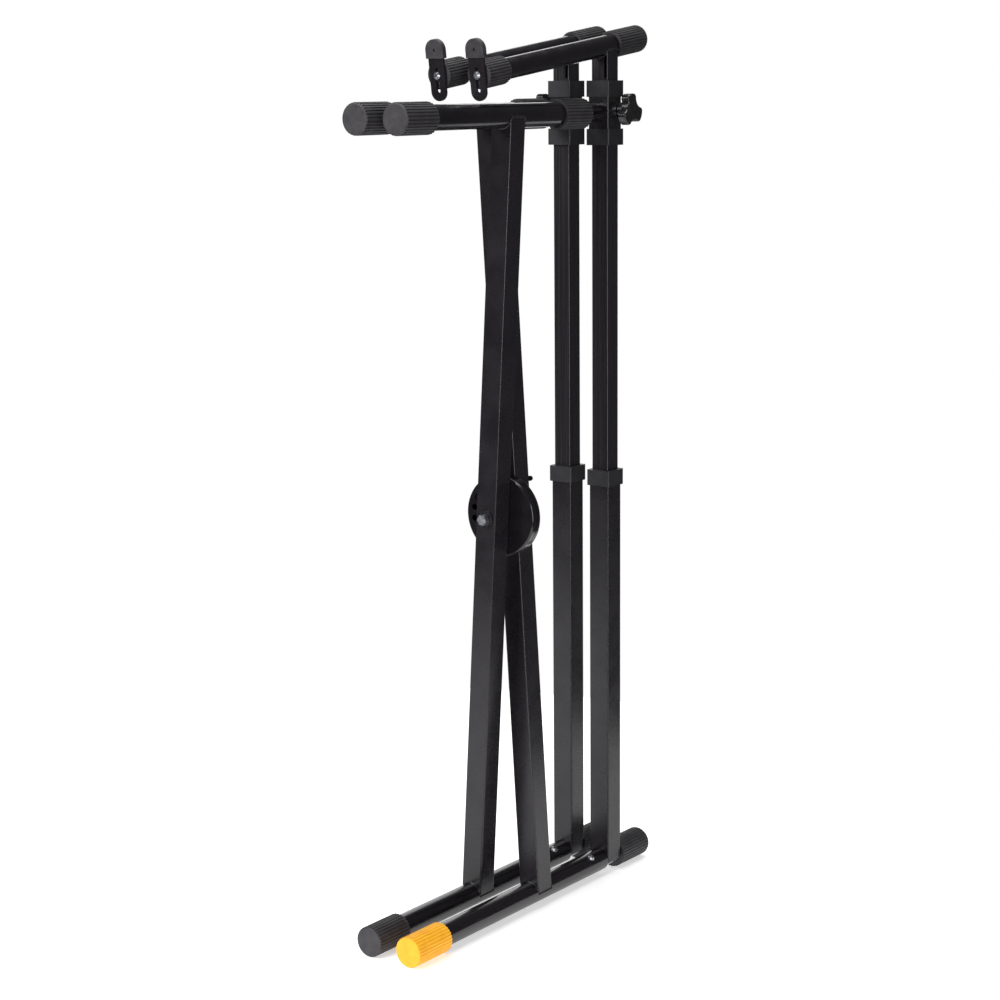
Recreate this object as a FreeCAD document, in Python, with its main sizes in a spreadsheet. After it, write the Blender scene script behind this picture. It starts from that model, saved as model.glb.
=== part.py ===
import FreeCAD, Part

# Two-tier folding keyboard stand, folded flat for storage.
#
# Two crossed legs of square tube turn about one pivot. Each leg carries a floor tube at its foot and a
# first-tier arm at its head. An upright stands on the rear end of each floor tube: a lower post with a
# telescopic mast in it, which carries a tilted second-tier arm and its sliding stop. A clamp sleeve on
# the rear end of each first-tier arm guides the mast and locks on it with a three-lobed knob.
#
# Frame: +Z up, +Y to the rear along the tubes, +X to the right. The origin is on the floor, below the
# middle of the stand. All sizes are in millimetres and degrees.
# "front" and "rear" legs differ in Y. "near" pieces are on the +X side and "far" pieces on the -X side.

import math
import os
import re

import Sketcher
from FreeCAD import Placement, Rotation, Vector

DRIVING_SIZES = (
    ("half_spacing", 32, "middle plane to the axis of every tube and upright"),
    ("floor_axis", 20.5, "height of the floor tubes' axes"),
    ("arm_axis", 1083, "height of the first-tier arms' axes"),
    ("upright_y", 183, "uprights' middle"),
    ("tube_diameter", 32, "floor tubes and first-tier arms"),
    ("tube_wall", 1.5, "wall of the round tubes"),
    ("tube_front", -270, "front end of the floor tubes"),
    ("floor_tube_rear", 166.4, "rear end of the floor tubes, just short of the posts"),
    ("arm_front", -266, "front end of the first-tier arms"),
    ("arm_rear", 121.4, "rear end of the first-tier arms, inside their bushes"),
    ("bolt_y", 132, "retaining bolt in each floor tube"),
    ("leg_side", 32, "legs' square section"),
    ("leg_wall", 1.5, "legs' wall"),
    ("leg_corner", 2, "outer corner radius of the legs and posts"),
    ("front_leg_y", -40, "front leg's middle"),
    ("rear_leg_y", 10, "rear leg's middle"),
    ("cap_diameter", 41, "ribbed rubber caps"),
    ("cap_length", 62.4, "grey front caps"),
    ("levelling_cap_length", 68.4, "levelling cap"),
    ("cap_end", 8, "closed end of a cap"),
    ("cap_round", 2.5, "rounding of a cap's closed end"),
    ("rib_count", 30, "grooves round a cap"),
    ("groove_radius", 1.4, "half-round groove between two ribs"),
    ("cap_gap", 0.6, "gap between a post and its rear foot cap"),
    ("foot_cap_length", 69, "rear foot caps"),
    ("levelling_offset", 1.2, "eccentricity of the levelling cap"),
    ("arm_bush_front", 66.6, "front end of the ribbed bush on a first-tier arm"),
    ("arm_bush_length", 58.4, "ribbed bush on the rear end of a first-tier arm"),
    ("lip_thickness", 3, "closed lip at the rear end of that bush"),
    ("lip_gap", 0.3, "gap between the lip and the spigot"),
    ("spigot_diameter", 26, "pivot spigots of the posts and sleeves"),
    ("spigot_wall", 3, "wall of the spigots"),
    ("spigot_front", 103, "front end of the posts' spigots"),
    ("sleeve_spigot_front", 50, "front end of the sleeves' spigots"),
    ("spigot_groove", 1.5, "depth of the retaining groove"),
    ("groove_width", 7.2, "width of the retaining groove"),
    ("bush_length", 18, "nylon pivot bushes"),
    ("bush_inset", 2, "distance from a bush to the nearest end of its tube or spigot"),
    ("running_gap", 0.05, "radial clearance of a running fit"),
    ("post_bottom", 17, "lower end of the lower posts"),
    ("post_top", 581.5, "upper end of the lower posts"),
    ("post_side", 32, "lower posts' square section"),
    ("post_wall", 1.5, "lower posts' wall"),
    ("mast_side", 26.5, "masts' square section"),
    ("mast_wall", 1.5, "masts' wall"),
    ("mast_corner", 1.8, "outer corner radius of the masts"),
    ("mast_bottom", 50, "lower end of the masts when they are fully down"),
    ("mast_slot_width", 4, "slot in the front face of a mast, under the arm"),
    ("mast_slot_bottom", 1130, "lower end of that slot"),
    ("glide_side", 28.6, "glide at the foot of a mast"),
    ("glide_height", 12, "glide below the mast"),
    ("glide_plug", 20, "glide's plug inside the mast"),
    ("collar_side", 37.5, "square guide collars"),
    ("collar_corner", 2.5, "outer corner radius of the collars"),
    ("collar_height", 22, "guide collars"),
    ("collar_seat", 14, "depth of a collar's seat on its tube"),
    ("collar_bore", 27.1, "square bore that guides the mast"),
    ("sleeve_side", 33, "clamp sleeves' square section"),
    ("sleeve_wall", 2, "clamp sleeves' wall"),
    ("sleeve_corner", 2.5, "outer corner radius of the sleeves"),
    ("sleeve_height", 71, "clamp sleeves"),
    ("upper_diameter", 28, "second-tier arms"),
    ("upper_axis", 1172.8, "height of a second-tier arm's axis over its mast"),
    ("upper_tilt", 7.55, "second-tier arms, lower at the front"),
    ("upper_front", 283, "mast axis to the front end of a second-tier arm"),
    ("upper_rear", 74, "mast axis to the rear end of a second-tier arm"),
    ("upper_cap_diameter", 37, "second-tier caps"),
    ("upper_cap_front", 47, "second-tier front cap"),
    ("upper_cap_rear", 67, "second-tier rear cap"),
    ("upper_cap_end", 6.5, "closed end of a second-tier cap"),
    ("end_plate", 4, "plate in the front end of a second-tier arm"),
    ("stop_screw_diameter", 5, "screw that holds a stop strap"),
    ("stop_screw_reach", 3, "stop screw's end behind the end plate"),
    ("screw_head_height", 3.4, "domed heads of the stop screws and retaining bolts"),
    ("screw_socket_radius", 1.8, "round socket in those heads"),
    ("screw_socket_depth", 2, "round socket in those heads"),
    ("strap_width", 24, "stop straps"),
    ("strap_thickness", 3, "stop straps"),
    ("strap_low", -32.5, "lower end of a strap from its arm's axis"),
    ("strap_high", 44.5, "upper end of a strap from its arm's axis"),
    ("slot_width", 5.6, "adjusting slot in a strap"),
    ("slot_low", -22, "lower end of that slot"),
    ("slot_high", 10, "upper end of that slot"),
    ("pad_width", 28, "rubber cover of a strap"),
    ("pad_thickness", 7, "rubber cover of a strap"),
    ("pad_low", 22, "lower end of a cover"),
    ("pad_high", 46.5, "upper end of a cover"),
    ("dimple_radius", 2, "dimple in the front of a cover"),
    ("dimple_depth", 1.2, "dimple in the front of a cover"),
    ("strap_gap", 0.1, "gap between a strap and the cap behind it"),
    ("disc_radius", 55, "index disc and bearing disc"),
    ("disc_thickness", 2, "sheet of both discs"),
    ("disc_round", 2.5, "rounded edge of both discs"),
    ("index_depth", 9.4, "depth of the dished index disc"),
    ("bearing_depth", 7.6, "depth of the dished bearing disc"),
    ("index_radius", 43, "pivot to the locking pin"),
    ("index_hole", 8.6, "index holes"),
    ("index_step", 20, "angle between two index holes"),
    ("index_count", 5, "index holes"),
    ("index_last", 103, "angle between the legs at the last index hole"),
    ("pivot_tube_diameter", 14, "tube round the pivot bolt"),
    ("pivot_bolt_diameter", 8, "pivot bolt"),
    ("pivot_hex", 13, "across the flats of the pivot bolt's head and nut"),
    ("pivot_washer_diameter", 24, "pivot washers"),
    ("pivot_washer_thickness", 1.6, "pivot washers"),
    ("pivot_nut_height", 8, "lock nut"),
    ("pivot_bolt_end", 2, "pivot bolt's thread beyond the nut"),
    ("pivot_head_height", 5.3, "pivot bolt's head"),
    ("friction_washer_diameter", 30, "nylon washer between the discs"),
    ("pin_diameter", 8, "locking pin"),
    ("pin_tip", -21.6, "front end of the locking pin, just short of the index disc"),
    ("pin_chamfer", 1, "chamfer on the pin's tip, and the neck's end beyond the tab"),
    ("pin_guide_flange", 2.5, "thickness of the guide's flange"),
    ("pin_guide_length", 5.6, "guide behind the rear leg"),
    ("pin_tab_gap", 0.4, "gap between the guide and the tab"),
    ("pin_tab_width", 31, "pull tab"),
    ("pin_tab_height", 7, "pull tab"),
    ("pin_tab_thickness", 3, "pull tab"),
    ("pin_neck_diameter", 4, "rear end of the pin, riveted in the tab"),
    ("retaining_bolt_diameter", 6, "retaining bolts"),
    ("retaining_tip_gap", 0.2, "gap between a retaining bolt's tip and its groove"),
    ("retaining_lift", 55, "angle of the retaining bolts above the horizontal"),
    ("knob_radius", 22.5, "three-lobed clamp knobs"),
    ("knob_scallop", 14, "hollow between two lobes"),
    ("knob_waist", 13.5, "knob's middle to the bottom of a hollow"),
    ("knob_lobe", 5, "rounding at the sides of a lobe"),
    ("knob_head", 12, "thickness of the lobed head"),
    ("knob_hub", 9, "length of the hub"),
    ("knob_hub_radius", 10.5, "radius of the hub"),
    ("knob_turn", 10, "turn of the knob's lobes from the upright"),
    ("knob_rise", 3.5, "clamp knob's axis above the arm's axis"),
    ("knob_gap", 2, "gap between the clamp nut and the hub"),
    ("stud_diameter", 8, "stud of a clamp knob"),
    ("stud_tip_gap", 0.2, "gap between a stud's tip and the mast"),
    ("clamp_nut_length", 8, "nut welded on a sleeve"),
    ("clamp_nut_radius", 10.5, "nut welded on a sleeve"),
)

doc = FreeCAD.newDocument("TwoTierStand")
sheet = doc.addObject("Spreadsheet::Sheet", "Sizes")
for row, (alias, number, note) in enumerate(DRIVING_SIZES, start=1):
    sheet.set(f"A{row}", alias)
    sheet.set(f"B{row}", str(number))
    sheet.setAlias(f"B{row}", alias)
    sheet.set(f"C{row}", note)
doc.recompute()

subparts = []


def value(formula):
    """The number that a formula on the sheet gives now."""
    return float(sheet.evalExpression(sizes(formula)))


def sizes(formula):
    """A formula with the sheet's name put before each of its aliases, but not before a function."""
    return re.sub(r"\b[a-z_]+\b(?!\()", lambda alias: f"Sizes.{alias[0]}", formula)


# ---------------------------------------------------------------------------------------------------
# Sketch and body helpers
# ---------------------------------------------------------------------------------------------------

def new_body(name):
    return doc.addObject("PartDesign::Body", name)


def origin_feature(body, role):
    return next(feature for feature in body.Origin.OriginFeatures if feature.Role == role)


def new_sketch(body, plane, rise=0):
    """A sketch on one of the body's own origin planes, lifted by rise along the plane's normal."""
    sketch = body.newObject("Sketcher::SketchObject", f"{body.Name}_sketch")
    sketch.AttachmentSupport = [(origin_feature(body, plane), "")]
    sketch.MapMode = "FlatFace"
    sketch.AttachmentOffset = Placement(Vector(0, 0, rise), Rotation())
    return sketch


def bind(sketch, kind, elements, formula):
    """Add a sketch dimension that follows a formula on the sheet."""
    index = sketch.addConstraint(Sketcher.Constraint(kind, *elements, value(formula)))
    sketch.setExpression(f"Constraints[{index}]", sizes(formula))


def bind_point(sketch, element, point, x, y):
    """Put one point of an element at (x, y), both of them formulas."""
    for kind, axis, formula in (("DistanceX", -2, x), ("DistanceY", -1, y)):
        if formula == "0":
            sketch.addConstraint(Sketcher.Constraint("PointOnObject", element, point, axis))
        else:
            bind(sketch, kind, (-1, 1, element, point), formula)


def draw_circle(sketch, radius, x="0", y="0"):
    centre = Vector(value(x), value(y), 0)
    circle = sketch.addGeometry(Part.Circle(centre, Vector(0, 0, 1), value(radius)))
    bind(sketch, "Radius", (circle,), radius)
    bind_point(sketch, circle, 3, x, y)


def draw_outline(sketch, corners):
    """A closed outline of straight lines through corners given as pairs of formulas."""
    points = [Vector(value(x), value(y), 0) for x, y in corners]
    lines = []
    for start, end in zip(points, points[1:] + points[:1]):
        lines.append(sketch.addGeometry(Part.LineSegment(start, end)))
    for line, following in zip(lines, lines[1:] + lines[:1]):
        sketch.addConstraint(Sketcher.Constraint("Coincident", line, 2, following, 1))
    for line, (x, y) in zip(lines, corners):
        bind_point(sketch, line, 1, x, y)


def draw_rounded_square(sketch, side, corner):
    """A centred square whose corners are rounded: four lines joined by four tangent arcs."""
    half = value(side) / 2
    radius = value(corner)
    reach = half - radius
    first = sketch.GeometryCount
    for turn in range(4):
        quarter = Rotation(Vector(0, 0, 1), 90 * turn)
        start = quarter.multVec(Vector(half, -reach, 0))
        end = quarter.multVec(Vector(half, reach, 0))
        centre = quarter.multVec(Vector(reach, reach, 0))
        angle = math.radians(90 * turn)
        sketch.addGeometry(Part.LineSegment(start, end))
        circle = Part.Circle(centre, Vector(0, 0, 1), radius)
        sketch.addGeometry(Part.ArcOfCircle(circle, angle, angle + math.pi / 2))
    for turn in range(4):
        line = first + 2 * turn
        following = first + (2 * turn + 2) % 8
        sketch.addConstraint(Sketcher.Constraint("Tangent", line, 2, line + 1, 1))
        sketch.addConstraint(Sketcher.Constraint("Tangent", line + 1, 2, following, 1))
        sketch.addConstraint(Sketcher.Constraint("Horizontal" if turn % 2 else "Vertical", line))
        bind(sketch, "Distance", (-1, 1, line), f"({side}) / 2")
    for turn in range(1, 4):
        sketch.addConstraint(Sketcher.Constraint("Equal", first + 1, first + 2 * turn + 1))
    bind(sketch, "Radius", (first + 1,), corner)


def draw_slot(sketch, width, low, high):
    """An upright slot on the vertical axis, round at both ends, from low to high overall."""
    radius = value(width) / 2
    bottom = Vector(0, value(low) + radius, 0)
    top = Vector(0, value(high) - radius, 0)
    side = Vector(radius, 0, 0)
    right = sketch.addGeometry(Part.LineSegment(bottom + side, top + side))
    upper = sketch.addGeometry(Part.ArcOfCircle(Part.Circle(top, Vector(0, 0, 1), radius), 0, math.pi))
    left = sketch.addGeometry(Part.LineSegment(top - side, bottom - side))
    lower_circle = Part.Circle(bottom, Vector(0, 0, 1), radius)
    lower = sketch.addGeometry(Part.ArcOfCircle(lower_circle, math.pi, 2 * math.pi))
    for element, following in ((right, upper), (upper, left), (left, lower), (lower, right)):
        sketch.addConstraint(Sketcher.Constraint("Tangent", element, 2, following, 1))
    sketch.addConstraint(Sketcher.Constraint("Equal", upper, lower))
    bind(sketch, "Radius", (upper,), f"{width} / 2")
    bind_point(sketch, upper, 3, "0", f"{high} - {width} / 2")
    bind_point(sketch, lower, 3, "0", f"{low} + {width} / 2")


def draw_arch(sketch, width, low, high):
    """A flat-bottomed outline with a half-round top, from low to high overall."""
    radius = value(width) / 2
    top = Vector(0, value(high) - radius, 0)
    foot = Vector(0, value(low), 0)
    side = Vector(radius, 0, 0)
    base = sketch.addGeometry(Part.LineSegment(foot - side, foot + side))
    right = sketch.addGeometry(Part.LineSegment(foot + side, top + side))
    upper = sketch.addGeometry(Part.ArcOfCircle(Part.Circle(top, Vector(0, 0, 1), radius), 0, math.pi))
    left = sketch.addGeometry(Part.LineSegment(top - side, foot - side))
    for element, following in ((base, right), (left, base)):
        sketch.addConstraint(Sketcher.Constraint("Coincident", element, 2, following, 1))
    for element, following in ((right, upper), (upper, left)):
        sketch.addConstraint(Sketcher.Constraint("Tangent", element, 2, following, 1))
    sketch.addConstraint(Sketcher.Constraint("Horizontal", base))
    bind(sketch, "Radius", (upper,), f"{width} / 2")
    bind_point(sketch, upper, 3, "0", f"{high} - {width} / 2")
    bind_point(sketch, base, 1, f"0 - {width} / 2", low)


def pad(body, sketch, length, symmetric=False):
    feature = body.newObject("PartDesign::Pad", f"{body.Name}_pad")
    feature.Profile = sketch
    feature.SideType = "Symmetric" if symmetric else "One side"
    feature.setExpression("Length", sizes(length))
    return feature


def pocket_both_ways(body, sketch):
    feature = body.newObject("PartDesign::Pocket", f"{body.Name}_pocket")
    feature.Profile = sketch
    feature.SideType = "Symmetric"
    feature.Type = "ThroughAll"
    return feature


def polar_pattern(body, original, count, angle):
    """Repeat a feature about the body's Z axis; a body's last shape is that of its tip."""
    feature = body.newObject("PartDesign::PolarPattern", f"{body.Name}_pattern")
    feature.Originals = [original]
    feature.Axis = (origin_feature(body, "Z_Axis"), [""])
    feature.setExpression("Angle", sizes(angle))
    feature.setExpression("Occurrences", sizes(count))
    body.Tip = feature
    return feature


def fillet_edges(body, base, radius, wanted):
    """Round the edges of the base feature for which wanted(edge) holds."""
    doc.recompute()
    names = [f"Edge{number}" for number, edge in enumerate(base.Shape.Edges, 1) if wanted(edge)]
    feature = body.newObject("PartDesign::Fillet", f"{body.Name}_fillet")
    feature.Base = (base, names)
    feature.setExpression("Radius", sizes(radius))
    body.Tip = feature
    return feature


def ring_edge(radius, height):
    """A test for the full circle of this radius, about the Z axis, at this height."""
    def wanted(edge):
        circle = edge.Curve.TypeId == "Part::GeomCircle" and len(edge.Vertexes) == 1
        return circle and abs(edge.Curve.Radius - radius) < 0.01 and abs(edge.Curve.Center.z - height) < 0.01
    return wanted


def revolved(name, corners):
    """A body turned about Z from a half-profile of (radius, height) formulas."""
    body = new_body(name)
    sketch = new_sketch(body, "XZ_Plane")
    draw_outline(sketch, corners)
    feature = body.newObject("PartDesign::Revolution", f"{body.Name}_revolution")
    feature.Profile = sketch
    feature.ReferenceAxis = (sketch, ["V_Axis"])
    feature.Angle = 360
    return body


def ring(name, inner, outer, length):
    return revolved(name, ((inner, "0"), (outer, "0"), (outer, length), (inner, length)))


def square_tube(name, side, wall, corner, length, symmetric=False):
    body = new_body(name)
    sketch = new_sketch(body, "XY_Plane")
    draw_rounded_square(sketch, side, corner)
    draw_rounded_square(sketch, f"{side} - 2 * {wall}", f"{corner} - {wall}")
    pad(body, sketch, length, symmetric)
    return body


def cylinder(name, radius, height, placement):
    """A plain cylinder to cut with."""
    solid = doc.addObject("Part::Cylinder", name)
    solid.setExpression("Radius", sizes(radius))
    solid.setExpression("Height", sizes(height))
    solid.Placement = placement
    return solid


def box(name, length, width, height, corner):
    """A plain box to cut with, from its lowest corner."""
    solid = doc.addObject("Part::Box", name)
    for side, formula in (("Length", length), ("Width", width), ("Height", height)):
        solid.setExpression(side, sizes(formula))
    solid.Placement = Placement(corner, Rotation())
    return solid


def cut(name, base, tool):
    result = doc.addObject("Part::Cut", name)
    result.Base = base
    result.Tool = tool
    return result


def group(name, pieces):
    """Separate solids that are listed as one sub-part."""
    result = doc.addObject("Part::Compound", name)
    result.Links = pieces
    return result


def subpart(label, shape, placement):
    shape.Label = label
    shape.Placement = placement
    subparts.append(shape)


# ---------------------------------------------------------------------------------------------------
# Where things stand
# ---------------------------------------------------------------------------------------------------

def upright(x, y, z):
    return Placement(Vector(x, y, z), Rotation())


def rearwards(x, y, z):
    """The local Z axis points to the rear; local Y points down."""
    return Placement(Vector(x, y, z), Rotation(Vector(1, 0, 0), -90))


def frontwards(x, y, z):
    """The local Z axis points to the front; local Y points up."""
    return Placement(Vector(x, y, z), Rotation(Vector(1, 0, 0), 90))


def sideways(side, x, y, z):
    """The local Z axis points away from the middle plane; local X points down on the +X side."""
    return Placement(Vector(x, y, z), Rotation(Vector(0, 1, 0), 90 * side))


HALF_SPACING = value("half_spacing")
UPRIGHT_Y = value("upright_y")
PIVOT_HEIGHT = value("(floor_axis + arm_axis) / 2")
HALF_RISE = value("(arm_axis - floor_axis) / 2")

# Pivot to tube axis, measured along a leg, as a number and as a formula.
HALF_LEG = math.hypot(HALF_SPACING, HALF_RISE)
HALF_LEG_FORMULA = "sqrt(half_spacing ^ 2 + ((arm_axis - floor_axis) / 2) ^ 2)"
FOLD_ANGLE = math.degrees(math.atan2(HALF_SPACING, HALF_RISE))

# The legs are drawn upright about the pivot and then turned by the folded half angle.
FRONT_LEG_TURN = Placement(Vector(0, 0, PIVOT_HEIGHT), Rotation(Vector(0, 1, 0), FOLD_ANGLE))
REAR_LEG_TURN = Placement(Vector(0, 0, PIVOT_HEIGHT), Rotation(Vector(0, 1, 0), -FOLD_ANGLE))


# ---------------------------------------------------------------------------------------------------
# Ribbed rubber caps and bushes
# ---------------------------------------------------------------------------------------------------

def add_ribs(body, radius):
    """Half-round grooves, side by side, along the whole length of a cap."""
    sketch = new_sketch(body, "XY_Plane")
    draw_circle(sketch, "groove_radius", f"{radius} + groove_radius / 3")
    groove = pocket_both_ways(body, sketch)
    polar_pattern(body, groove, "rib_count", "360")


def blind_cap(name, radius, bore, length, end, screw_hole="0"):
    """A cap with its open end at local Z = 0 and its rounded, closed end at the top."""
    corners = [(bore, "0"), (radius, "0"), (radius, length), (screw_hole, length),
               (screw_hole, f"{length} - {end}"), (bore, f"{length} - {end}")]
    body = revolved(name, corners)
    rim = ring_edge(value(radius), value(length))
    fillet_edges(body, body.Tip, "cap_round", rim)
    add_ribs(body, radius)
    return body


def front_cap(name):
    return blind_cap(name, "cap_diameter / 2", "tube_diameter / 2", "cap_length", "cap_end")


def levelling_cap(name):
    """The outside is eccentric to the bore, so that turning the cap raises or lowers the tube."""
    length = "levelling_cap_length"
    solid_cap = revolved(f"{name}_outside", (("0", "0"), ("cap_diameter / 2", "0"),
                                            ("cap_diameter / 2", length), ("0", length)))
    rim = ring_edge(value("cap_diameter / 2"), value(length))
    fillet_edges(solid_cap, solid_cap.Tip, "cap_round", rim)
    add_ribs(solid_cap, "cap_diameter / 2")
    bore_axis = upright(-value("levelling_offset"), 0, 0)
    bore = cylinder(f"{name}_bore", "tube_diameter / 2 + running_gap", f"{length} - cap_end", bore_axis)
    return cut(name, solid_cap, bore)


def arm_bush(name):
    """Ribbed bush on the end of the arm's tube; its lip fits round the spigot."""
    body = revolved(name, (
        ("tube_diameter / 2", "0"), ("cap_diameter / 2", "0"), ("cap_diameter / 2", "arm_bush_length"),
        ("spigot_diameter / 2 + lip_gap", "arm_bush_length"),
        ("spigot_diameter / 2 + lip_gap", "arm_bush_length - lip_thickness"),
        ("tube_diameter / 2", "arm_bush_length - lip_thickness")))
    add_ribs(body, "cap_diameter / 2")
    return body


# ---------------------------------------------------------------------------------------------------
# Uprights: lower post, spigot, mast, second-tier arm and stop
# ---------------------------------------------------------------------------------------------------

def lower_post(name):
    """Square tube from its lower end. The front and rear walls are notched to sit on the spigot."""
    body = square_tube(f"{name}_tube", "post_side", "post_wall", "leg_corner", "post_top - post_bottom")
    notch = new_sketch(body, "XZ_Plane")
    draw_circle(notch, "spigot_diameter / 2", "0", "floor_axis - post_bottom")
    pocket_both_ways(body, notch)
    half = value("post_side / 2")
    heel = value("post_side / 4")
    corner = box(f"{name}_corner", "post_side", "post_side / 4", "post_side / 4",
                 Vector(-half, half - heel, 0))
    round_axis = Placement(Vector(-half, half - heel, heel), Rotation(Vector(0, 1, 0), 90))
    rounding = cylinder(f"{name}_rounding", "post_side / 4", "post_side", round_axis)
    return cut(name, body, cut(f"{name}_heel", corner, rounding))


def foot_spigot(name):
    """Turned tube along Z, with a groove for the retaining bolt's tip."""
    inner = "spigot_diameter / 2 - spigot_wall"
    outer = "spigot_diameter / 2"
    groove = "spigot_diameter / 2 - spigot_groove"
    length = "upright_y + post_side / 2 + foot_cap_length - cap_end - spigot_front"
    start = "bolt_y - groove_width / 2 - spigot_front"
    end = "bolt_y + groove_width / 2 - spigot_front"
    return revolved(name, ((inner, "0"), (outer, "0"), (outer, start), (groove, start), (groove, end),
                           (outer, end), (outer, length), (inner, length)))


def guide_collar(name, seat_side):
    """Square collar: a seat for its own tube below and a closer bore for the mast above."""
    body = new_body(name)
    seat = new_sketch(body, "XY_Plane")
    draw_rounded_square(seat, "collar_side", "collar_corner")
    draw_rounded_square(seat, seat_side, "leg_corner")
    pad(body, seat, "collar_seat")
    guide = new_sketch(body, "XY_Plane", value("collar_seat"))
    guide.setExpression("AttachmentOffset.Base.z", sizes("collar_seat"))
    draw_rounded_square(guide, "collar_side", "collar_corner")
    draw_rounded_square(guide, "collar_bore", "mast_corner")
    pad(body, guide, "collar_height - collar_seat")
    return body


def mast(name):
    """Square tube whose head is cut to the tilted second-tier arm, with a slot in its front face."""
    body = square_tube(f"{name}_tube", "mast_side", "mast_wall", "mast_corner", "upper_axis - mast_bottom")
    head = Vector(0, 0, value("upper_axis - mast_bottom"))
    arm_direction = Rotation(Vector(1, 0, 0), value("upper_tilt") - 90)
    arm_start = head + arm_direction.multVec(Vector(0, 0, -value("mast_side")))
    saddle = cylinder(f"{name}_saddle", "upper_diameter / 2", "mast_side * 2",
                      Placement(arm_start, arm_direction))
    edge = value("mast_side / 2 - mast_corner - mast_slot_width")
    slot = box(f"{name}_slot", "mast_slot_width", "mast_wall * 2", "upper_axis - mast_slot_bottom",
               Vector(edge, -value("mast_side / 2 + mast_wall / 2"), value("mast_slot_bottom - mast_bottom")))
    return cut(name, cut(f"{name}_saddled", body, saddle), slot)


def mast_glide(name):
    """Plastic foot of the mast: a block that fills the post and a plug inside the mast."""
    body = new_body(name)
    block = new_sketch(body, "XY_Plane")
    draw_rounded_square(block, "glide_side", "mast_wall")
    pad(body, block, "glide_height")
    plug = new_sketch(body, "XY_Plane")
    draw_rounded_square(plug, "mast_side - 2 * mast_wall - 2 * running_gap", "mast_wall")
    pad(body, plug, "glide_height + glide_plug")
    return body


def second_tier_arm(name):
    """Round tube along Z with a plate in its front end, at local Z = 0, that takes the stop's screw."""
    inner = "upper_diameter / 2 - tube_wall"
    outer = "upper_diameter / 2"
    length = "upper_front + upper_rear"
    hole = "stop_screw_diameter / 2 + running_gap"
    return revolved(name, ((hole, "0"), (outer, "0"), (outer, length), (inner, length),
                           (inner, "end_plate"), (hole, "end_plate")))


def second_tier_caps(name):
    """The front cap, with a hole for the stop's screw, and the rear cap, both along the arm's axis."""
    radius = "upper_cap_diameter / 2"
    bore = "upper_diameter / 2"
    front = blind_cap(f"{name}_front", radius, bore, "upper_cap_front", "upper_cap_end",
                      "stop_screw_diameter / 2 + running_gap")
    front.Placement = frontwards(0, value("upper_cap_front - upper_cap_end - upper_front"), 0)
    rear = blind_cap(f"{name}_rear", radius, bore, "upper_cap_rear", "upper_cap_end")
    rear.Placement = rearwards(0, value("upper_rear + upper_cap_end - upper_cap_rear"), 0)
    return group(name, [front, rear])


def stop_strap(name):
    """Flat steel strap with round ends and an adjusting slot; its rear face is at local Y = 0."""
    body = new_body(name)
    sketch = new_sketch(body, "XZ_Plane")
    draw_slot(sketch, "strap_width", "strap_low", "strap_high")
    draw_slot(sketch, "slot_width", "slot_low", "slot_high")
    pad(body, sketch, "strap_thickness")
    return body


def stop_pad(name):
    """Rubber cover pulled over the head of the strap."""
    cover = new_body(f"{name}_cover")
    outline = new_sketch(cover, "XZ_Plane", value("strap_thickness / 2 - pad_thickness / 2"))
    outline.setExpression("AttachmentOffset.Base.z", sizes("strap_thickness / 2 - pad_thickness / 2"))
    draw_arch(outline, "pad_width", "pad_low", "pad_high")
    pad(cover, outline, "pad_thickness")
    pocket = new_body(f"{name}_pocket")
    strap = new_sketch(pocket, "XZ_Plane")
    draw_slot(strap, "strap_width", "strap_low", "strap_high")
    pad(pocket, strap, "strap_thickness")
    face = value("strap_thickness / 2 + pad_thickness / 2")
    dimple = cylinder(f"{name}_dimple", "dimple_radius", "dimple_depth",
                      frontwards(0, value("dimple_depth") - face, value("pad_high - pad_width / 2")))
    return cut(name, cut(f"{name}_hollow", cover, pocket), dimple)


def socket_screw(name, shank, head, tip, seat):
    """Screw along Z from its tip to its domed head; the formulas are two radii and two heights."""
    crown = f"{seat} + screw_head_height"
    floor = f"{crown} - screw_socket_depth"
    return revolved(name, (("0", tip), (shank, tip), (shank, seat), (head, seat),
                           (head, f"{seat} + screw_head_height / 3"), (f"{head} * 0.6", crown),
                           ("screw_socket_radius", crown), ("screw_socket_radius", floor), ("0", floor)))


def stop_screw(name):
    seat = "end_plate + stop_screw_reach + upper_cap_end + strap_thickness + 2 * strap_gap"
    return socket_screw(name, "stop_screw_diameter / 2", "stop_screw_diameter", "0", seat)


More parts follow.
